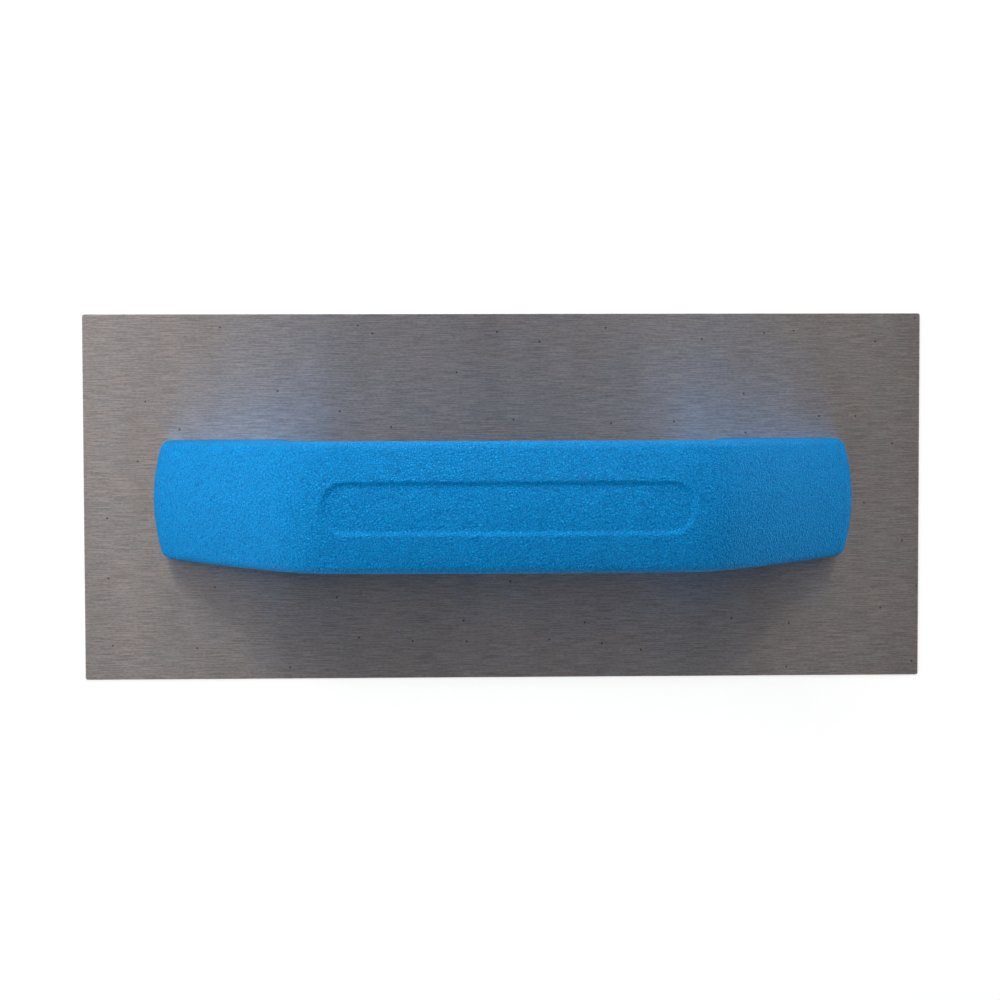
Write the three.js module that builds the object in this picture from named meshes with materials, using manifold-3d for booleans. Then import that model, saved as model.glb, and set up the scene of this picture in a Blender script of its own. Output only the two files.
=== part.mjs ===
// Steel finishing trowel: a rectangular steel blade under a hollow bridge handle made of two moulded shells.
// Millimetres, +Z up, +X along the blade. The origin is the centre of the blade's lower, working face.
// Four studs stand on the blade, so that its working face has no fixings. Nuts and washers on them hold the
// lower shell down. The upper shell closes the handle along a lipped seam, held by two screws under the grip.
import * as THREE from "three";
import { mergeVertices } from "three/addons/utils/BufferGeometryUtils.js";
import Module from "manifold-3d";

const wasm = await Module();
wasm.setup();

// ---- Driving dimensions ----
const BLADE = { length: 280, width: 122, thick: 1, corner: 0.8 };

const HANDLE = {
  length: 232, // over the foot ends, at the blade
  height: 60.7, // above the blade
  halfWidth: 20.7, // at the middle of the top
  barrel: 0.014, // the share by which the foot ends are narrower than the middle
  draft: 0.055, // the share by which the sides close in from the top down to the blade
  wall: 2.6,
};
// The outer line in the side view: upright end face, foot bend, bowed slope, shoulder, nearly flat top.
const END_FACE = { lean: 86, height: 9 };
const FOOT_BEND = 14;
const SLOPE = { foot: 48, shoulder: 37 }; // degrees at its two ends
const SHOULDER_BEND = 34;
const TOP_ARCH = 2; // degrees that each half of the top falls away
// Across the handle: a crowned top and a crowned underside, each with rounded edges.
const TOP_CROWN = { radius: 70, edge: 3.5 };
const UNDER_CROWN = { radius: 42, edge: 12 };

const SEAM = { depth: 11, gap: 0.3, lip: 2, lipThick: 1.1, lipInset: 1.4 };
const GAP = { halfLength: 62, lean: 86, corner: 20, height: 34 }; // the finger gap, above the blade
const RECESS = { length: 114, width: 15.4, corner: 6.6, depth: 0.9 };
const RIB = { thick: 2, short: 3, at: [-84, -58, -12, 12, 58, 84] };

const FOOT = { floor: 3, boss: 6, bossRadius: 8.5 };
const STUD = { at: [-94, -75, 75, 94], radius: 2.45, length: 13, tip: 0.6, flangeRadius: 3.2, flange: 0.8 };
const WASHER = { bore: 2.65, radius: 7.5, thick: 1.2 };
const SPRING = { bore: 2.65, radius: 4.4, thick: 1.2, rise: 0.35, slit: 12 };
const NUT = { bore: 2.6, acrossFlats: 8, thick: 4, chamfer: 0.5 };

const SCREW = { at: [-36, 36], radius: 1.5, length: 16, tip: 1, headRadius: 3.4, head: 2.2, cross: 0.9 };
// Where a screw's head seats in the grip's underside, above the blade, and the posts it joins.
const SCREW_SEAT = { height: 37.2, thick: 3.2, lowerRadius: 6, upperRadius: 4.2, bite: 0.4 };

// Flat steps that stand for a curve: round a fastener, in a corner of the recess or blade, and on the handle.
const ROUND = 16;
const STEPS = { recess: 6, blade: 3, bend: 5, slope: 3, top: 6, gapLeg: 3, gapCorner: 8, crown: 3, edge: 3 };

const CLEAR = 0.3; // round a fastener, and between the shells' posts

const bladeTop = BLADE.thick;
const screwSeat = bladeTop + SCREW_SEAT.height;
const halfLength = HANDLE.length / 2;
const rad = THREE.MathUtils.degToRad;
const sin = (degrees) => Math.sin(rad(degrees));
const cos = (degrees) => Math.cos(rad(degrees));

// ---- Materials ----
const steel = new THREE.MeshStandardMaterial({ color: 0x8c8683, roughness: 0.38, metalness: 1 });
const bluePlastic = new THREE.MeshStandardMaterial({ color: 0x1478bf, roughness: 0.55, metalness: 0 });
const zinc = new THREE.MeshStandardMaterial({ color: 0xb9bdc0, roughness: 0.35, metalness: 1 });

// ---- Solids ----
function solid(geometry) {
  const bare = geometry.clone();
  bare.deleteAttribute("normal");
  bare.deleteAttribute("uv");
  const merged = mergeVertices(bare, 1e-4);
  return new wasm.Manifold(
    new wasm.Mesh({
      numProp: 3,
      vertProperties: new Float32Array(merged.attributes.position.array),
      triVerts: new Uint32Array(merged.index.array),
    }),
  );
}

function geometryOf(manifold) {
  const mesh = manifold.getMesh();
  const geometry = new THREE.BufferGeometry();
  geometry.setAttribute("position", new THREE.BufferAttribute(mesh.vertProperties, 3));
  geometry.setIndex(new THREE.BufferAttribute(mesh.triVerts, 1));
  geometry.computeVertexNormals();
  return geometry;
}

const box = (sx, sy, sz, x, y, z) => solid(new THREE.BoxGeometry(sx, sy, sz).translate(x, y, z));

// A round post or hole standing on z, on the long centre line.
function post(radius, height, x, z) {
  const cylinder = new THREE.CylinderGeometry(radius, radius, height, ROUND);
  return solid(cylinder.rotateX(Math.PI / 2).translate(x, 0, z + height / 2));
}

// A flat rectangular plate with rounded corners, lying on z.
function plate({ length, width, corner }, height, z, cornerSteps) {
  const [x, y] = [length / 2 - corner, width / 2 - corner];
  const outline = new THREE.Shape();
  outline.absarc(x, y, corner, 0, Math.PI / 2);
  outline.absarc(-x, y, corner, Math.PI / 2, Math.PI);
  outline.absarc(-x, -y, corner, Math.PI, 1.5 * Math.PI);
  outline.absarc(x, -y, corner, 1.5 * Math.PI, 2 * Math.PI);
  const settings = { depth: height, bevelEnabled: false, curveSegments: cornerSteps };
  return new THREE.ExtrudeGeometry(outline, settings).translate(0, 0, z);
}

// A closed skin through rings of points, capped at both ends. Each ring is { points, outline }: the same loop
// in space and in its own flat coordinates, which the cap is cut from. The loops run anticlockwise about the
// direction in which the rings advance.
function loft(rings) {
  const count = rings[0].points.length;
  const position = rings.flatMap((ring) => ring.points.flatMap((p) => p.toArray()));
  const index = [];
  for (let r = 0; r < rings.length - 1; r++) {
    for (let i = 0; i < count; i++) {
      const a = r * count + i;
      const b = r * count + ((i + 1) % count);
      index.push(a, b, a + count, b, b + count, a + count);
    }
  }
  const last = (rings.length - 1) * count;
  for (const [i, j, k] of THREE.ShapeUtils.triangulateShape(rings[0].outline, [])) index.push(k, j, i);
  for (const [i, j, k] of THREE.ShapeUtils.triangulateShape(rings.at(-1).outline, [])) {
    index.push(last + i, last + j, last + k);
  }
  const geometry = new THREE.BufferGeometry();
  geometry.setAttribute("position", new THREE.Float32BufferAttribute(position, 3));
  geometry.setIndex(index);
  return solid(geometry);
}

// ---- The handle's lines in the side view ----
const ahead = (heading) => new THREE.Vector2(Math.cos(heading), Math.sin(heading));
const rightOf = (heading) => new THREE.Vector2(Math.sin(heading), -Math.cos(heading));

// Walks from a point in straight legs and right-hand bends. Each step ends in a station: place and heading.
function walk(x, z, degrees, legs) {
  const stations = [{ at: new THREE.Vector2(x, z), heading: rad(degrees) }];
  for (const { length = 0, turn = 0, radius = 0, steps = 1 } of legs) {
    const from = stations.at(-1);
    const centre = from.at.clone().addScaledVector(rightOf(from.heading), radius);
    for (let i = 1; i <= steps; i++) {
      const share = i / steps;
      const at = from.at.clone().rotateAround(centre, -rad(turn) * share);
      at.addScaledVector(ahead(from.heading), length * share);
      stations.push({ at, heading: from.heading - rad(turn) * share });
    }
  }
  return stations;
}

// Starts a walk a little under the blade's top, so that the shells can be trimmed flat there.
const UNDER = 6;
function walkFromBlade(x, lean, legs) {
  return walk(x - UNDER / Math.tan(rad(lean)), bladeTop - UNDER, lean, legs);
}

// How far a right-hand bend from one heading to another goes, for each unit of its radius.
const bendRun = (from, to) => sin(from) - sin(to);
const bendRise = (from, to) => cos(to) - cos(from);

// Half of a line covers a run and a rise with one leg and half of the arched top. The leg goes legRun along
// and legRise up for each unit of its size. Returns the leg's size and the arch's radius.
function legAndArch(run, rise, legRun, legRise) {
  const archShare = bendRise(TOP_ARCH, 0) / bendRun(TOP_ARCH, 0);
  const leg = (rise - run * archShare) / (legRise - legRun * archShare);
  return [leg, (run - leg * legRun) / bendRun(TOP_ARCH, 0)];
}

function outerLine() {
  const { foot, shoulder } = SLOPE;
  const { lean, height } = END_FACE;
  const fixedRun = height / Math.tan(rad(lean)) + FOOT_BEND * bendRun(lean, foot);
  const fixedRise = height + FOOT_BEND * bendRise(lean, foot);
  const [slopeRadius, topRadius] = legAndArch(
    halfLength - fixedRun - SHOULDER_BEND * bendRun(shoulder, TOP_ARCH),
    HANDLE.height - fixedRise - SHOULDER_BEND * bendRise(shoulder, TOP_ARCH),
    bendRun(foot, shoulder),
    bendRise(foot, shoulder),
  );
  const legs = [
    { length: (height + UNDER) / sin(lean) },
    { turn: lean - foot, radius: FOOT_BEND, steps: STEPS.bend },
    { turn: foot - shoulder, radius: slopeRadius, steps: STEPS.slope },
    { turn: shoulder - TOP_ARCH, radius: SHOULDER_BEND, steps: STEPS.bend },
  ];
  const top = { turn: 2 * TOP_ARCH, radius: topRadius, steps: STEPS.top };
  return walkFromBlade(-halfLength, lean, [...legs, top, ...legs.toReversed()]);
}

function gapLine() {
  const { lean, corner, height } = GAP;
  const [upright, underRadius] = legAndArch(
    GAP.halfLength - corner * bendRun(lean, TOP_ARCH),
    height - corner * bendRise(lean, TOP_ARCH),
    cos(lean),
    sin(lean),
  );
  const legs = [
    { length: upright + UNDER / sin(lean), steps: STEPS.gapLeg },
    { turn: lean - TOP_ARCH, radius: corner, steps: STEPS.gapCorner },
  ];
  const under = { turn: 2 * TOP_ARCH, radius: underRadius, steps: STEPS.top };
  return walkFromBlade(-GAP.halfLength, lean, [...legs, under, ...legs.toReversed()]);
}

const outer = outerLine();
const seamLine = outer.map(({ at, heading }) => at.clone().addScaledVector(rightOf(heading), SEAM.depth));

// ---- The handle's sections ----
// The share of its full width that the handle has at a point.
function widthShare(x, z) {
  const below = 1 - (z - bladeTop) / HANDLE.height;
  return (1 - HANDLE.barrel * (x / halfLength) ** 2) * (1 - HANDLE.draft * below);
}

const LEAST_ROUNDING = 0.4;

// Half of a crowned outline, from the middle to the side wall: u is across, d is depth below the crown.
function crownHalf({ radius, edge }, inset, edgeSteps) {
  const arc = radius - inset;
  const rounding = Math.max(edge - inset, LEAST_ROUNDING);
  const halfWidth = HANDLE.halfWidth - inset;
  const tilt = Math.asin((halfWidth - rounding) / (arc - rounding));
  const centreDepth = radius - (arc - rounding) * Math.cos(tilt);
  const points = [];
  for (let i = 0; i < STEPS.crown; i++) {
    const angle = (tilt * i) / STEPS.crown;
    points.push(new THREE.Vector2(arc * Math.sin(angle), radius - arc * Math.cos(angle)));
  }
  for (let i = 0; i <= edgeSteps; i++) {
    const angle = tilt + ((Math.PI / 2 - tilt) * i) / edgeSteps;
    const u = halfWidth - rounding + rounding * Math.sin(angle);
    points.push(new THREE.Vector2(u, centreDepth - rounding * Math.cos(angle)));
  }
  return points;
}

const mirrored = (half) => half.map((p) => new THREE.Vector2(-p.x, p.y)).reverse();

// The crowned outline from wall to wall, closed straight across at the given depth.
function filledOutline(crown, inset, depth) {
  const half = crownHalf(crown, inset, STEPS.edge - 1);
  const wall = half.at(-1).x;
  const close = [new THREE.Vector2(wall, depth), new THREE.Vector2(-wall, depth)];
  return [...half, ...close, ...mirrored(half).slice(0, -1)];
}

// A shell's channel outline: out along one skin, back along the other. A rebate takes the seam's lip.
function channelOutline(crown, depth, rebate) {
  const half = crownHalf(crown, 0, STEPS.edge);
  const inner = crownHalf(crown, HANDLE.wall, 1);
  const wall = half.at(-1).x;
  const innerWall = inner.at(-1).x;
  const step = wall - SEAM.lipInset + SEAM.gap;
  const foot = rebate
    ? [
        new THREE.Vector2(wall, depth),
        new THREE.Vector2(step, depth),
        new THREE.Vector2(step, depth - rebate),
        new THREE.Vector2(innerWall, depth - rebate),
      ]
    : [new THREE.Vector2(wall, depth), new THREE.Vector2(innerWall, depth)];
  const mirrorFoot = foot.map((p) => new THREE.Vector2(-p.x, p.y)).reverse();
  const outerSkin = [...mirrored(half).slice(0, -1), ...half];
  const innerSkin = [...mirrored(inner).slice(0, -1), ...inner].reverse();
  return [...outerSkin, ...foot, ...innerSkin, ...mirrorFoot];
}

// Places an outline at a station: u runs across the handle, and depth runs along the given direction.
function ringAt(at, direction, outline) {
  const points = outline.map(({ x: u, y: depth }) => {
    const x = at.x + direction.x * depth;
    const z = at.y + direction.y * depth;
    return new THREE.Vector3(x, u * widthShare(x, z), z);
  });
  return { points, outline };
}

// Sweeps an outline under the whole outer line. It advances backwards, as its depth axis points down.
function sweepInward(outline) {
  const rings = outer.map(({ at, heading }) => ringAt(at, rightOf(heading), outline));
  return loft(rings.reverse());
}

const HUGE = 400;
const belowBlade = box(HUGE, HUGE, HUGE, 0, 0, bladeTop - HUGE / 2);

// ---- Handle, upper shell ----
// Everything over the recess's floor, inside its outline.
function recessCutter() {
  const prism = plate(RECESS, HANDLE.height, HANDLE.height / 2, STEPS.recess);
  const core = sweepInward(filledOutline(TOP_CROWN, RECESS.depth, SEAM.depth));
  return solid(prism).subtract(core);
}

function upperShell() {
  let shell = sweepInward(channelOutline(TOP_CROWN, SEAM.depth, SEAM.lip + SEAM.gap));
  const ribCore = sweepInward(filledOutline(TOP_CROWN, HANDLE.wall / 2, SEAM.depth - RIB.short));
  for (const x of RIB.at) {
    shell = shell.add(box(RIB.thick, HUGE, HUGE, x, 0, 0).intersect(ribCore));
  }
  const postFoot = screwSeat + SCREW_SEAT.thick + CLEAR;
  const postTop = bladeTop + HANDLE.height - HANDLE.wall + SCREW_SEAT.bite;
  for (const x of SCREW.at) {
    shell = shell.add(post(SCREW_SEAT.upperRadius, postTop - postFoot, x, postFoot));
    shell = shell.subtract(post(SCREW.radius + CLEAR, SCREW.length + SCREW.tip, x, screwSeat));
  }
  return shell.subtract(recessCutter()).subtract(belowBlade);
}

// ---- Handle, lower shell ----
// How far it is from a point, along a direction, to the seam.
function reachToSeam(at, direction) {
  for (let i = 0; i < seamLine.length - 1; i++) {
    const along = seamLine[i + 1].clone().sub(seamLine[i]);
    const across = seamLine[i].clone().sub(at);
    const turn = direction.cross(along);
    const reach = across.cross(along) / turn;
    const share = across.cross(direction) / turn;
    if (reach > 0 && share >= 0 && share <= 1) return reach;
  }
  throw new Error("a section of the lower shell misses the seam");
}

// A lip on one side of the seam, standing up inside the upper shell's rebate.
function seamLip(side) {
  const outside = HANDLE.halfWidth - SEAM.lipInset;
  const inside = outside - SEAM.lipThick;
  const [low, high] = [SEAM.depth - SEAM.lip, SEAM.depth + SEAM.lip];
  const outline = [
    new THREE.Vector2(side * inside, low),
    new THREE.Vector2(side * outside, low),
    new THREE.Vector2(side * outside, high),
    new THREE.Vector2(side * inside, high),
  ];
  return sweepInward(side > 0 ? outline : outline.reverse());
}

// Sweeps an outline of the given depth round the finger gap, out as far as the seam.
function sweepOutward(outlineAt) {
  const rings = gapLine().map(({ at, heading }) => {
    const direction = rightOf(heading).negate();
    return ringAt(at, direction, outlineAt(reachToSeam(at, direction) - SEAM.gap));
  });
  return loft(rings);
}

function lowerShell() {
  const channel = sweepOutward((depth) => channelOutline(UNDER_CROWN, depth, 0));
  const core = sweepOutward((depth) => filledOutline(UNDER_CROWN, HANDLE.wall / 2, depth - HANDLE.wall / 2));
  const floor = box(HUGE, HUGE, FOOT.floor, 0, 0, bladeTop + FOOT.floor / 2).intersect(core);
  let shell = channel.add(floor).add(seamLip(1)).add(seamLip(-1));
  for (const x of STUD.at) {
    shell = shell.add(post(FOOT.bossRadius, FOOT.boss, x, bladeTop));
    shell = shell.subtract(post(STUD.radius + CLEAR, FOOT.boss + STUD.length, x, 0));
    shell = shell.subtract(post(STUD.flangeRadius + CLEAR, STUD.flange + CLEAR, x, bladeTop));
  }
  const undersideAtScrew = bladeTop + GAP.height;
  const postTop = screwSeat + SCREW_SEAT.thick;
  for (const x of SCREW.at) {
    shell = shell.add(post(SCREW_SEAT.lowerRadius, postTop - undersideAtScrew, x, undersideAtScrew));
    shell = shell.subtract(post(SCREW.headRadius + CLEAR, SCREW.length, x, screwSeat - SCREW.length));
    shell = shell.subtract(post(SCREW.radius + CLEAR, SCREW.length, x, screwSeat));
  }
  return shell.subtract(belowBlade);
}

// ---- Fasteners, each standing on its own z = 0 ----
const point = (r, z) => new THREE.Vector2(r, z);

function turned(profile) {
  return new THREE.LatheGeometry(profile, ROUND).rotateX(Math.PI / 2);
}

function studGeometry() {
  const { radius, length, tip, flangeRadius, flange } = STUD;
  return turned([
    point(0, 0),
    point(flangeRadius, 0),
    point(flangeRadius, flange),
    point(radius, flange),
    point(radius, length - tip),
    point(radius - tip, length),
    point(0, length),
  ]);
}

function washerGeometry() {
  const { bore, radius, thick } = WASHER;
  return turned([point(bore, 0), point(radius, 0), point(radius, thick), point(bore, thick), point(bore, 0)]);
}

// A square-section ring, slit and sprung apart by its rise.
function springWasherGeometry() {
  const { bore, radius, thick, rise, slit } = SPRING;
  const rings = [];
  for (let i = 0; i <= ROUND; i++) {
    const share = i / ROUND;
    const angle = -rad(slit / 2 + share * (360 - slit));
    const low = rise * share;
    const high = low + thick - rise;
    const outline = [point(bore, low), point(radius, low), point(radius, high), point(bore, high)];
    const points = outline.map((p) => new THREE.Vector3(p.x * Math.cos(angle), p.x * Math.sin(angle), p.y));
    rings.push({ points, outline });
  }
  return geometryOf(loft(rings));
}

function nutGeometry() {
  const { bore, acrossFlats, thick, chamfer } = NUT;
  const corner = acrossFlats / 2 / cos(30);
  const hexagon = new THREE.CylinderGeometry(corner, corner, thick, 6);
  const upright = hexagon.rotateX(Math.PI / 2).translate(0, 0, thick / 2);
  const barrel = turned([
    point(0, 0),
    point(corner - chamfer, 0),
    point(corner, chamfer / 2),
    point(corner, thick - chamfer / 2),
    point(corner - chamfer, thick),
    point(0, thick),
  ]);
  const hole = post(bore, 2 * thick, 0, -thick / 2);
  return geometryOf(solid(upright).intersect(solid(barrel)).subtract(hole));
}

// A pan-head screw with a cross slot, seated at its own z = 0 with its head below.
function screwGeometry() {
  const { radius, length, tip, headRadius, head, cross } = SCREW;
  const body = turned([
    point(0, -head),
    point(headRadius / 2, -head),
    point(headRadius, -head / 2),
    point(headRadius, 0),
    point(radius, 0),
    point(radius, length - tip),
    point(0, length),
  ]);
  const arm = box(headRadius, cross, cross, 0, 0, -head);
  return geometryOf(solid(body).subtract(arm).subtract(arm.rotate([0, 0, 90])));
}

// ---- Assembly ----
const trowel = new THREE.Group();

function place(name, geometry, material, x = 0, z = 0) {
  const mesh = new THREE.Mesh(geometry, material);
  mesh.name = name;
  mesh.position.set(x, 0, z);
  trowel.add(mesh);
}

place("blade", plate(BLADE, BLADE.thick, 0, STEPS.blade), steel);
place("handle_lower_shell", geometryOf(lowerShell()), bluePlastic);
place("handle_upper_shell", geometryOf(upperShell()), bluePlastic);

// Each stack stands on the blade: the stud through the boss, then the washers and the nut on top of the boss.
const washerSeat = bladeTop + FOOT.boss;
const springSeat = washerSeat + WASHER.thick;
const nutSeat = springSeat + SPRING.thick;
STUD.at.forEach((x, i) => {
  place(`weld_stud_${i + 1}`, studGeometry(), zinc, x, bladeTop);
  place(`plain_washer_${i + 1}`, washerGeometry(), zinc, x, washerSeat);
  place(`spring_washer_${i + 1}`, springWasherGeometry(), zinc, x, springSeat);
  place(`hex_nut_${i + 1}`, nutGeometry(), zinc, x, nutSeat);
});

SCREW.at.forEach((x, i) => {
  place(`grip_screw_${i + 1}`, screwGeometry(), zinc, x, screwSeat);
});

export default trowel;
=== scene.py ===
"""Looks for the steel finishing trowel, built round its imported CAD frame.

Metres, +Z up, +X along the blade."""

from math import asin, cos, pi, radians, sin, sqrt

import bmesh
import bpy
import numpy as np
from mathutils import Euler, Matrix, Vector


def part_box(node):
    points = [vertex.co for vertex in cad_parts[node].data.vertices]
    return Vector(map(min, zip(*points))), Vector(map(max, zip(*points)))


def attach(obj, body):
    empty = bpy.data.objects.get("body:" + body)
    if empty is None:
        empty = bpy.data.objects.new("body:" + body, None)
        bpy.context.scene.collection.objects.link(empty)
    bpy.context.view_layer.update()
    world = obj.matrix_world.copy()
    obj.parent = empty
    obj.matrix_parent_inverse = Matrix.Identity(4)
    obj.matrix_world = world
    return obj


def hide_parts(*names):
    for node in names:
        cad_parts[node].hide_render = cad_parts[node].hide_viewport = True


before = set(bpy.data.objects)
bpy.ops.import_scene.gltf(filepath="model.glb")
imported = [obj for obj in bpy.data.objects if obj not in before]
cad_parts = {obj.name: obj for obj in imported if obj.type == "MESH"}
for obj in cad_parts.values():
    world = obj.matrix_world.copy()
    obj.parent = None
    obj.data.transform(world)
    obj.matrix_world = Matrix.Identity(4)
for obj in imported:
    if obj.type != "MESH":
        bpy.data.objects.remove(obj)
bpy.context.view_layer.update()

MM = 0.001

# ---- The handle's proportions, as its solids have ----
END_LEAN = radians(86)
END_HEIGHT = 9 * MM
UPRIGHT = np.array([cos(END_LEAN), sin(END_LEAN)])  # the direction of the foot ends and the gap's legs
FOOT_BEND = 14 * MM
SLOPE_FOOT = radians(48)  # the slope is bowed, and eases to its shoulder angle
SLOPE_SHOULDER = radians(37)
SHOULDER_BEND = 34 * MM
TOP_ARCH = radians(2)
TOP_CROWN = (70 * MM, 3.5 * MM)  # the radius across the handle, and of its edges
UNDER_CROWN = (42 * MM, 12 * MM)
BARREL = 0.014  # the share by which the foot ends are narrower than the middle
DRAFT = 0.055  # the share by which the sides close in from the top down to the blade
WALL = 2.6 * MM
GAP_HALF_LENGTH = 62 * MM
GAP_CORNER = 20 * MM
GAP_HEIGHT = 34 * MM
SEAM_DEPTH = 11 * MM
SEAM_GAP = 0.3 * MM
SEAM_EDGE = 0.35 * MM
LIP_INSET = 1.4 * MM
LIP_HEIGHT = 2 * MM
RECESS_HALF_LENGTH = 57 * MM
RECESS_HALF_WIDTH = 7.7 * MM
RECESS_CORNER = 6.6 * MM
RECESS_DEPTH = 0.9 * MM
RECESS_STEP = 1.8 * MM  # how wide its soft step is
SCREW_SEAT_HEIGHT = 37.2 * MM  # above the blade, with the seat's plate over it
SCREW_SEAT_THICK = 3.2 * MM
SCREW_POST = 6 * MM  # its radius
HEAD_CLEARANCE = 0.3 * MM

# ---- How finely the crown is divided ----
CROWN_STEP = 0.3 * MM
CROWN_EDGE_STEPS = 8
LEAST_ROUNDING = 0.4 * MM

# ---- Sizes from the frame ----
blade_low, blade_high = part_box("blade")
upper_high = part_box("handle_upper_shell")[1]
BLADE_TOP = blade_high[2]
HALF_LENGTH = upper_high[0]
HALF_WIDTH = upper_high[1]
# The recess takes away the middle of the crown, so the solid's box ends at the recess's edge.
crown_sag = TOP_CROWN[0] - sqrt(TOP_CROWN[0] ** 2 - RECESS_HALF_WIDTH**2)
HANDLE_HEIGHT = upper_high[2] - BLADE_TOP + crown_sag


# ---- Side-view lines ----
def walk(x, z, heading, legs):
    """Points and headings along straight legs and right-hand bends. A leg is (length, turn, radius, step)."""
    points, headings = [(x, z)], [heading]
    for length, turn, radius, step in legs:
        count = max(1, round((length + radius * turn) / step))
        start_x, start_z = points[-1]
        start = headings[-1]
        for i in range(1, count + 1):
            share = i / count
            now = start - turn * share
            x = start_x + length * share * cos(start) + radius * (sin(start) - sin(now))
            z = start_z + length * share * sin(start) + radius * (cos(now) - cos(start))
            points.append((x, z))
            headings.append(now)
    return np.array(points), np.array(headings)


def bend(start, end):
    """How far a right-hand bend goes along and up, for each unit of its radius."""
    return np.array([sin(start) - sin(end), cos(end) - cos(start)])


def leg_and_arch(cover, leg):
    """The size of a leg and the radius of the arched top that together cover half a line."""
    return np.linalg.solve(np.column_stack([leg, bend(TOP_ARCH, 0)]), cover)


def outer_line():
    """The handle's outline from the side, from one foot end to the other."""
    face = END_HEIGHT / sin(END_LEAN)
    cover = np.array([HALF_LENGTH, HANDLE_HEIGHT]) - face * UPRIGHT
    cover -= FOOT_BEND * bend(END_LEAN, SLOPE_FOOT) + SHOULDER_BEND * bend(SLOPE_SHOULDER, TOP_ARCH)
    slope, arch = leg_and_arch(cover, bend(SLOPE_FOOT, SLOPE_SHOULDER))
    half = [
        (face, 0, 0, 1 * MM),
        (0, END_LEAN - SLOPE_FOOT, FOOT_BEND, 0.4 * MM),
        (0, SLOPE_FOOT - SLOPE_SHOULDER, slope, 1 * MM),
        (0, SLOPE_SHOULDER - TOP_ARCH, SHOULDER_BEND, 0.6 * MM),
    ]
    legs = half + [(0, 2 * TOP_ARCH, arch, 0.6 * MM)] + half[::-1]
    return walk(-HALF_LENGTH, BLADE_TOP, END_LEAN, legs)


def gap_line():
    """The finger gap's outline from the side."""
    cover = np.array([GAP_HALF_LENGTH, GAP_HEIGHT]) - GAP_CORNER * bend(END_LEAN, TOP_ARCH)
    leg, arch = leg_and_arch(cover, UPRIGHT)
    half = [(leg, 0, 0, 0.8 * MM), (0, END_LEAN - TOP_ARCH, GAP_CORNER, 0.5 * MM)]
    legs = half + [(0, 2 * TOP_ARCH, arch, 1 * MM)] + half[::-1]
    return walk(-GAP_HALF_LENGTH, BLADE_TOP, END_LEAN, legs)


def depth_axes(points, headings, leg_height):
    """Unit vectors square to a line, on its right, turned level where the line stands on the blade."""
    share = np.clip(1 - (points[:, 1] - BLADE_TOP) / leg_height, 0, 1)
    level = headings + np.sign(headings) * (pi / 2 - END_LEAN) * share
    return np.stack([np.sin(level), -np.cos(level)], axis=1)


def cross(a, b):
    """The cross product of plane vectors."""
    return a[..., 0] * b[..., 1] - a[..., 1] * b[..., 0]


def reach(points, axes, line):
    """How far each point is from a line, along its own axis. The line's ends are drawn out below the blade's
    top, so that the lowest axes meet it too."""
    drop = np.array([0, 5 * MM])
    line = np.vstack([line[0] - drop, line, line[-1] - drop])
    along = line[1:] - line[:-1]
    across = line[None, :-1] - points[:, None]
    turn = cross(axes[:, None], along[None])
    turn = np.where(np.abs(turn) < 1e-12, 1e-12, turn)
    far = cross(across, along[None]) / turn
    share = cross(across, axes[:, None]) / turn
    hit = (far > 0) & (share >= 0) & (share <= 1)
    return np.where(hit, far, np.inf).min(axis=1)


# ---- Sections across the handle ----
def crown_half(crown, inset, spacing, edge_steps):
    """(across, depth) from the crown's middle to the side wall."""
    radius, edge = crown
    arc = radius - inset
    rounding = max(edge - inset, LEAST_ROUNDING)
    half = HALF_WIDTH - inset
    tilt = asin((half - rounding) / (arc - rounding))
    top = np.linspace(0, tilt, max(3, round(arc * tilt / spacing)), endpoint=False)
    turn = np.linspace(tilt, pi / 2, edge_steps + 1)
    across = np.concatenate([arc * np.sin(top), half - rounding + rounding * np.sin(turn)])
    centre = radius - (arc - rounding) * cos(tilt)
    depth = np.concatenate([radius - arc * np.cos(top), centre - rounding * np.cos(turn)])
    return np.stack([across, depth], axis=1)


# A channel's outline is rows of (across, offset, datum). The offset counts from one of three depths of a
# ring: the line itself, the rim at the seam, or the end of the lip and the rebate behind it.
LINE, RIM, LIP = 0, 1, 2


def rows(points, datum):
    """Outline rows that all count from one datum."""
    points = np.array(points)
    return np.column_stack([points, np.full(len(points), datum)])


def channel_outline(crown, ledge, spacing):
    """The closed outline of a shell, with a rounded rim and a ledge beside it for the lip joint."""
    turn = np.linspace(0, pi / 2, 4)
    rim_across = HALF_WIDTH - SEAM_EDGE * (1 - np.cos(turn))
    rim_offset = SEAM_EDGE * (np.sin(turn) - 1)
    inner_wall = HALF_WIDTH - WALL
    half = np.vstack([
        rows(crown_half(crown, 0, spacing, CROWN_EDGE_STEPS), LINE),
        rows(np.stack([rim_across, rim_offset], axis=1), RIM),
        rows([(ledge, 0)], RIM),
        rows([(ledge, 0), (inner_wall, 0)], LIP),
        rows(crown_half(crown, WALL, 2 * MM, 2)[::-1], LINE),
    ])
    return np.vstack([half, half[-2:0:-1] * (-1, 1, 1)])


def place_rings(points, axes, outline, rim, lip):
    """An outline placed at every point of a line, as an array of rings of points."""
    across, offset, datum = outline.T
    depths = np.stack([np.zeros(len(points)), rim, lip], axis=1)
    depth = offset + depths[:, datum.astype(int)]
    x = points[:, :1] + axes[:, :1] * depth
    z = points[:, 1:] + axes[:, 1:] * depth
    below = 1 - (z - BLADE_TOP) / HANDLE_HEIGHT
    narrowing = (1 - BARREL * (x / HALF_LENGTH) ** 2) * (1 - DRAFT * below)
    return np.stack([x, across * narrowing, z], axis=-1)


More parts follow.
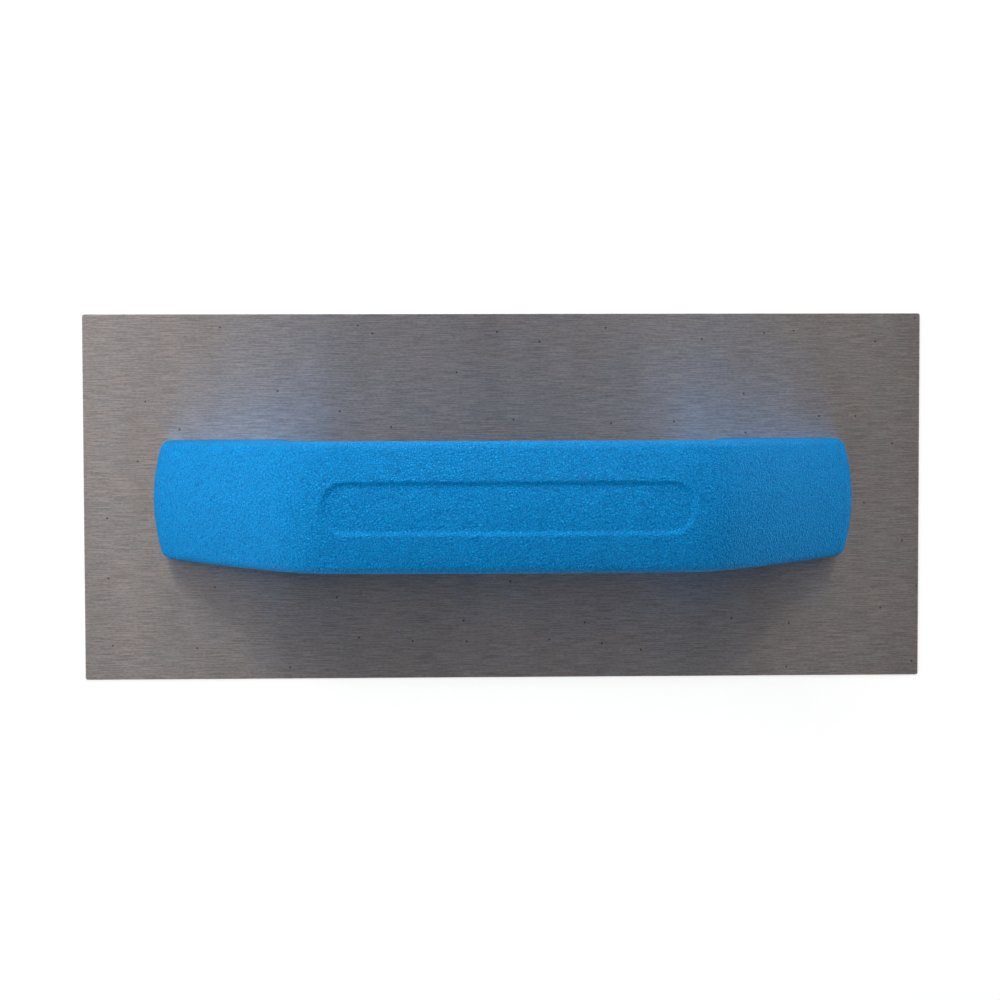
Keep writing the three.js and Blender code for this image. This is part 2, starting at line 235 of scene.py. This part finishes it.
def press_recess(rings, axes, outer_skin):
    """Presses the racetrack recess into the outer skin, with a soft step round it."""
    beyond_x = np.abs(rings[:, outer_skin, 0]) - (RECESS_HALF_LENGTH - RECESS_CORNER)
    beyond_y = np.abs(rings[:, outer_skin, 1]) - (RECESS_HALF_WIDTH - RECESS_CORNER)
    corner = np.hypot(np.maximum(beyond_x, 0), np.maximum(beyond_y, 0))
    distance = corner + np.minimum(np.maximum(beyond_x, beyond_y), 0) - RECESS_CORNER
    share = np.clip(0.5 - distance / RECESS_STEP, 0, 1)
    press = RECESS_DEPTH * share**2 * (3 - 2 * share)
    rings[:, outer_skin, 0] += axes[:, :1] * press
    rings[:, outer_skin, 2] += axes[:, 1:] * press


# ---- Meshes ----
def ring_mesh(name, rings, crease=radians(32)):
    """A closed mesh through rings of points, capped at both ends and smooth up to the crease angle."""
    count, around = rings.shape[:2]
    grid = np.arange(count * around).reshape(count, around)
    here, ahead = grid[:-1], grid[1:]
    quads = np.stack([here, np.roll(here, -1, 1), np.roll(ahead, -1, 1), ahead], axis=-1)
    faces = quads.reshape(-1, 4).tolist() + [grid[0, ::-1].tolist(), grid[-1].tolist()]
    mesh = bpy.data.meshes.new(name)
    mesh.from_pydata(rings.reshape(-1, 3).tolist(), [], faces)
    edit = bmesh.new()
    edit.from_mesh(mesh)
    bmesh.ops.recalc_face_normals(edit, faces=edit.faces)
    edit.to_mesh(mesh)
    edit.free()
    mesh.shade_smooth()
    mesh.set_sharp_from_angle(angle=crease)
    piece = bpy.data.objects.new(name, mesh)
    bpy.context.collection.objects.link(piece)
    return piece


def finish_piece(piece, node, material):
    """Gives a piece its material and puts it in the place of its CAD node."""
    piece.data.materials.append(material)
    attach(piece, "root")
    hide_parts(node)


outer_points, outer_headings = outer_line()
outer_axes = depth_axes(outer_points, outer_headings, END_HEIGHT)


def upper_shell(material):
    """The handle's top and upper sides, with the recess pressed into them."""
    outline = channel_outline(TOP_CROWN, HALF_WIDTH - LIP_INSET + SEAM_GAP, CROWN_STEP)
    count = len(outer_points)
    rim = np.full(count, SEAM_DEPTH)
    rings = place_rings(outer_points, outer_axes, outline, rim, rim - LIP_HEIGHT - SEAM_GAP)
    on_line = np.where(outline[:, 2] == LINE)[0]
    crown = len(crown_half(TOP_CROWN, 0, CROWN_STEP, CROWN_EDGE_STEPS))
    outer_skin = on_line[(on_line < crown) | (on_line > len(outline) - crown)]
    press_recess(rings, outer_axes, outer_skin)
    finish_piece(ring_mesh("upper_shell", rings), "handle_upper_shell", material)


def cylinders(parts):
    """One mesh of upright cylinders. A part is (x, radius, low, high)."""
    edit = bmesh.new()
    for x, radius, low, high in parts:
        place = Matrix.Translation((x, 0, (low + high) / 2))
        sizes = {"radius1": radius, "radius2": radius, "depth": high - low}
        bmesh.ops.create_cone(edit, cap_ends=True, segments=48, matrix=place, **sizes)
    mesh = bpy.data.meshes.new("cylinders")
    edit.to_mesh(mesh)
    edit.free()
    return mesh


def joined(shell, operation, mesh):
    """Joins a mesh to the shell, or cuts it away."""
    other = bpy.data.objects.new("other", mesh)
    bpy.context.collection.objects.link(other)
    modifier = shell.modifiers.new("joined", "BOOLEAN")
    modifier.operation = operation
    modifier.solver = "EXACT"
    modifier.object = other
    result = bpy.data.meshes.new_from_object(shell.evaluated_get(bpy.context.evaluated_depsgraph_get()))
    shell.modifiers.clear()
    shell.data = result
    bpy.data.objects.remove(other)


def seat_screws(shell):
    """The posts over the grip's underside, bored for the grip screws and their heads."""
    seat = BLADE_TOP + SCREW_SEAT_HEIGHT
    post_foot = BLADE_TOP + GAP_HEIGHT - 0.3 * MM  # inside the wall, as the arched gap is lower here
    posts, bores = [], []
    for number in (1, 2):
        low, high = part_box(f"grip_screw_{number}")
        x = (low[0] + high[0]) / 2
        head = (high[0] - low[0]) / 2 + HEAD_CLEARANCE
        shank = head / 2
        posts.append((x, SCREW_POST, post_foot, seat + SCREW_SEAT_THICK))
        # Each bore runs on past what it cuts, so that no skin is left over its ends.
        bores.append((x, head, BLADE_TOP + GAP_HEIGHT / 2, seat))
        bores.append((x, shank, seat - 1 * MM, seat + 2 * SCREW_SEAT_THICK))
    joined(shell, "UNION", cylinders(posts))
    joined(shell, "DIFFERENCE", cylinders(bores))


def lower_shell(material):
    """The gap's lining and the handle's lower sides, which reach out to the seam."""
    points, headings = gap_line()
    leg_height = GAP_HEIGHT - GAP_CORNER
    axes = -depth_axes(points, headings, leg_height)
    rim = reach(points, axes, outer_points + outer_axes * (SEAM_DEPTH + SEAM_GAP))
    lip = reach(points, axes, outer_points + outer_axes * (SEAM_DEPTH - LIP_HEIGHT))
    outline = channel_outline(UNDER_CROWN, HALF_WIDTH - LIP_INSET, 0.8 * MM)
    rings = place_rings(points, axes, outline, rim, lip)
    shell = ring_mesh("lower_shell", rings)
    seat_screws(shell)
    finish_piece(shell, "handle_lower_shell", material)


def blade(material):
    """The plate with its corners and its edges just eased."""
    corner = 0.8 * MM
    ease = 0.15 * MM
    turn = np.linspace(0, pi / 2, 7)
    levels = [(ease, blade_low[2]), (0, blade_low[2] + ease), (0, BLADE_TOP - ease), (ease, BLADE_TOP)]
    rings = []
    for inset, z in levels:
        loop = []
        for quarter, (side_x, side_y) in enumerate([(1, 1), (-1, 1), (-1, -1), (1, -1)]):
            for angle in turn + quarter * pi / 2:
                x = side_x * (blade_high[0] - corner) + (corner - inset) * cos(angle)
                y = side_y * (blade_high[1] - corner) + (corner - inset) * sin(angle)
                loop.append((x, y, z))
        rings.append(loop)
    finish_piece(ring_mesh("blade_plate", np.array(rings)), "blade", material)


# ---- Materials ----
class Shader:
    """A material with short calls for the nodes that the finishes share. Object coordinates are metres."""

    def __init__(self, name):
        self.material = bpy.data.materials.new(name)
        self.material.use_nodes = True
        self.tree = self.material.node_tree
        self.surface = self.tree.nodes["Principled BSDF"]
        self.place = self.tree.nodes.new("ShaderNodeTexCoord").outputs["Object"]

    def add(self, kind, inputs, **settings):
        node = self.tree.nodes.new(kind)
        for key, value in settings.items():
            setattr(node, key, value)
        self.fill(node, inputs)
        return node

    def fill(self, node, inputs):
        for key, value in inputs.items():
            if isinstance(value, bpy.types.NodeSocket):
                self.tree.links.new(value, node.inputs[key])
            else:
                node.inputs[key].default_value = value

    def stretch(self, per_metre):
        """The place, scaled by its own number per metre along each axis."""
        inputs = {0: self.place, 1: per_metre}
        return self.add("ShaderNodeVectorMath", inputs, operation="MULTIPLY").outputs[0]

    def noise(self, per_metre, detail=2.0, roughness=0.5):
        inputs = {"Vector": self.stretch(per_metre), "Scale": 1.0, "Detail": detail, "Roughness": roughness}
        return self.add("ShaderNodeTexNoise", inputs).outputs["Fac"]

    def remap(self, value, low, high, to_low=0.0, to_high=1.0):
        inputs = {"Value": value, "From Min": low, "From Max": high, "To Min": to_low, "To Max": to_high}
        return self.add("ShaderNodeMapRange", inputs, interpolation_type="SMOOTHSTEP").outputs[0]

    def math(self, operation, a, b):
        return self.add("ShaderNodeMath", {0: a, 1: b}, operation=operation).outputs[0]

    def blend(self, factor, a, b):
        inputs = {"Factor": factor, "A": (*a, 1) if isinstance(a, tuple) else a}
        inputs["B"] = (*b, 1) if isinstance(b, tuple) else b
        node = self.add("ShaderNodeMix", {}, data_type="RGBA")
        sockets = {"Factor": node.inputs[0], "A": node.inputs[6], "B": node.inputs[7]}
        for key, value in inputs.items():
            if isinstance(value, bpy.types.NodeSocket):
                self.tree.links.new(value, sockets[key])
            else:
                sockets[key].default_value = value
        return node.outputs[2]

    def bump(self, height, distance):
        inputs = {"Height": height, "Distance": distance, "Strength": 1.0}
        return self.add("ShaderNodeBump", inputs).outputs["Normal"]


def brushed_steel():
    """Steel ground along the blade: long fine scratches and short nicks, a few dark pits, faint rubbed
    patches that also carry painted reflection bands along y, and stains. Noise scales count cells per metre
    along x, y and z."""
    steel = Shader("brushed_steel")
    scratches = steel.noise((130, 3600, 130), detail=1)
    nicks = steel.noise((800, 3600, 800), detail=1)
    rubbed_patches_and_painted_reflection = steel.noise((28, 8, 28), detail=2)
    stains = steel.noise((60, 80, 60), detail=2)
    spots = {"Vector": steel.stretch((45, 45, 45)), "Scale": 1.0}
    spot = steel.add("ShaderNodeTexVoronoi", spots, voronoi_dimensions="2D").outputs["Distance"]
    pits = steel.remap(spot, 0.008, 0.020, 0.8, 0.0)
    grain = steel.math("ADD", steel.math("MULTIPLY", scratches, 0.6), steel.math("MULTIPLY", nicks, 0.4))
    fine = steel.remap(grain, 0.3, 0.7, 0.73, 1.27)
    # Broad bands along y: partly faint rubbed patches, partly painted reflection bands of the room in the
    # brushed steel.
    broad = steel.remap(rubbed_patches_and_painted_reflection, 0.3, 0.7, 0.94, 1.06)
    shade = steel.math("MULTIPLY", fine, broad)
    tint = steel.blend(steel.remap(stains, 0.35, 0.65), (0.672, 0.622, 0.622), (0.696, 0.622, 0.608))
    colour = steel.add("ShaderNodeVectorMath", {0: tint, "Scale": shade}, operation="SCALE").outputs[0]
    colour = steel.blend(pits, colour, (0.05, 0.045, 0.04))
    # The scratches run along x and spread the light across them, along y.
    across = steel.add("ShaderNodeCombineXYZ", {"X": 0.0, "Y": 1.0, "Z": 0.0}).outputs[0]
    steel.fill(steel.surface, {
        "Base Color": colour,
        "Metallic": 1.0,
        "Roughness": steel.remap(scratches, 0.3, 0.7, 0.33, 0.37),
        "Anisotropic": 0.965,
        "Tangent": across,
        "Normal": steel.bump(scratches, 0.002 * MM),
    })
    return steel.material


def grained_plastic():
    """Moulded plastic with a leather grain: rounded pebbles of about a millimetre between fine creases,
    darkened with painted shade.
    """
    plastic = Shader("grained_plastic")
    drift = plastic.add("ShaderNodeTexNoise", {"Vector": plastic.place, "Scale": 700.0, "Detail": 1.0})
    centring = {0: drift.outputs["Color"], 1: (0.5, 0.5, 0.5)}
    centred = plastic.add("ShaderNodeVectorMath", centring, operation="SUBTRACT")
    wander = {0: centred.outputs[0], "Scale": 1.1 * MM}
    offset = plastic.add("ShaderNodeVectorMath", wander, operation="SCALE")
    warped = plastic.add("ShaderNodeVectorMath", {0: plastic.place, 1: offset.outputs[0]}, operation="ADD")
    cells = {"Vector": warped.outputs[0], "Scale": 1250.0}
    crease = plastic.add("ShaderNodeTexVoronoi", cells, feature="DISTANCE_TO_EDGE").outputs["Distance"]
    pebbles = plastic.remap(crease, 0.0, 0.34)
    swell = plastic.noise((1200, 1200, 1200), detail=2)
    relief = plastic.math("ADD", plastic.math("MULTIPLY", pebbles, 0.6), plastic.math("MULTIPLY", swell, 1.6))
    tone = plastic.noise((150, 150, 150), detail=2)
    colour = plastic.blend(plastic.remap(tone, 0.3, 0.7), (0.0006, 0.254, 0.595), (0.0008, 0.272, 0.635))
    # Painted shade: the creases between the pebbles are darkened in the colour, as occlusion would shade
    # them.
    colour = plastic.blend(plastic.remap(pebbles, 0, 0.6, 0.75, 0), colour, (0.0003, 0.110, 0.350))
    plastic.fill(plastic.surface, {
        "Base Color": colour,
        "Roughness": plastic.remap(relief, 0.2, 1.8, 0.56, 0.46),
        "Specular IOR Level": 0.15,
        "Normal": plastic.bump(relief, 0.30 * MM),
    })
    return plastic.material


def zinc_plating():
    """Bright plating with a faint spangle, for the fasteners."""
    zinc = Shader("zinc_plating")
    spangle = zinc.noise((900, 900, 900), detail=2)
    zinc.fill(zinc.surface, {
        "Base Color": zinc.blend(zinc.remap(spangle, 0.3, 0.7), (0.50, 0.51, 0.53), (0.66, 0.67, 0.68)),
        "Metallic": 1.0,
        "Roughness": zinc.remap(spangle, 0.3, 0.7, 0.28, 0.42),
        "Normal": zinc.bump(spangle, 0.01 * MM),
    })
    return zinc.material


# ---- The studio ----
def floor():
    """A pale sheet just under the blade. It glows, so that it looks nearly white without strong lamps."""
    sheet = Shader("pale_sheet")
    tone = sheet.noise((3, 3, 3), detail=2)
    camera_ray = sheet.add("ShaderNodeLightPath", {}).outputs["Is Camera Ray"]
    sheet.fill(sheet.surface, {
        "Base Color": sheet.blend(tone, (0.23, 0.23, 0.23), (0.27, 0.27, 0.27)),
        "Roughness": 0.9,
        "Specular IOR Level": 0.0,
        "Emission Color": (1, 1, 1, 1),
        "Emission Strength": sheet.remap(camera_ray, 0.0, 1.0, 0.5, 0.8),
    })
    half = 4.0
    height = blade_low[2] - 0.2 * MM
    sides = [(-1, -1), (1, -1), (1, 1), (-1, 1)]
    mesh = bpy.data.meshes.new("floor")
    mesh.from_pydata([(half * x, half * y, height) for x, y in sides], [], [(0, 1, 2, 3)])
    mesh.materials.append(sheet.material)
    ground = bpy.data.objects.new("floor", mesh)
    bpy.context.collection.objects.link(ground)


def soft_light(name, place, size, power, glossy=True):
    """A rectangular lamp that faces the tool. One that isn't glossy leaves no reflection in the steel."""
    lamp = bpy.data.lights.new(name, "AREA")
    lamp.shape = "RECTANGLE"
    lamp.size, lamp.size_y = size
    lamp.energy = power
    light = bpy.data.objects.new(name, lamp)
    light.location = place
    light.visible_glossy = glossy
    light.rotation_euler = (-Vector(place)).to_track_quat("-Z", "Y").to_euler()
    bpy.context.collection.objects.link(light)


def surroundings(seen, behind, before):
    """A plain world. The camera sees one level. What lights the tool is brighter behind it than before it, as
    the one who takes the picture leans over from the front."""
    world = bpy.data.worlds.new("surroundings")
    world.use_nodes = True
    nodes, links = world.node_tree.nodes, world.node_tree.links
    direction = nodes.new("ShaderNodeSeparateXYZ")
    links.new(nodes.new("ShaderNodeTexCoord").outputs["Generated"], direction.inputs[0])
    lit = nodes.new("ShaderNodeMapRange")
    lit.interpolation_type = "SMOOTHSTEP"
    blend = 0.07  # how far either side of the middle one level turns into the other
    for socket, number in zip(lit.inputs[1:5], (-blend, blend, before, behind)):
        socket.default_value = number
    links.new(direction.outputs["Y"], lit.inputs["Value"])
    level = nodes.new("ShaderNodeMix")
    links.new(nodes.new("ShaderNodeLightPath").outputs["Is Camera Ray"], level.inputs["Factor"])
    links.new(lit.outputs[0], level.inputs["A"])
    level.inputs["B"].default_value = seen
    links.new(level.outputs["Result"], nodes["Background"].inputs["Strength"])
    nodes["Background"].inputs["Color"].default_value = (1, 1, 1, 1)
    bpy.context.scene.world = world


def camera():
    """A camera nearly straight above the tool, a little off its middle and tilted by a few degrees."""
    lens = bpy.data.cameras.new("camera")
    lens.sensor_width = 36
    lens.lens = 73.85
    lens.shift_x, lens.shift_y = -0.0087, -0.050
    view = bpy.data.objects.new("camera", lens)
    view.location = (-0.0186, 0.0438, 0.687)
    view.rotation_euler = Euler([radians(a) for a in (-2.36, -1.70, -0.12)])
    bpy.context.collection.objects.link(view)
    bpy.context.scene.camera = view


# ---- Build ----
blue = grained_plastic()
blade(brushed_steel())
upper_shell(blue)
lower_shell(blue)

plating = zinc_plating()
fastener_kinds = ("weld_stud", "plain_washer", "spring_washer", "hex_nut", "grip_screw")
for name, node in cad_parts.items():
    if name.startswith(fastener_kinds):
        node.material_slots[0].material = plating

floor()
# Places and sizes are in metres, and powers in watts.
soft_light("key", (-0.20, 0.55, 0.25), (0.2, 0.2), 1.7, glossy=False)
soft_light("near_key", (-0.16, 0.25, 0.35), (0.15, 0.15), 0.85, glossy=False)
soft_light("left", (-0.7, 0.25, 0.3), (0.3, 0.3), 1.8, glossy=False)
soft_light("front_left", (-0.6, -0.35, 0.3), (0.3, 0.3), 2.2, glossy=False)
soft_light("front", (-0.1, -0.8, 0.12), (0.6, 0.15), 0.9, glossy=False)
soft_light("right", (0.75, 0.2, 0.25), (0.3, 0.3), 3.7, glossy=False)
soft_light("window", (-0.55, 1.3, 1.45), (0.5, 0.5), 1.9)
soft_light("far_window", (0.35, 1.3, 1.45), (0.3, 0.5), 0.5)
soft_light("overhead", (-0.45, 0.3, 1.9), (0.4, 0.5), 0.4)
surroundings(seen=0.8, behind=0.38, before=0.045)
camera()
bpy.context.scene.view_settings.view_transform = "Standard"
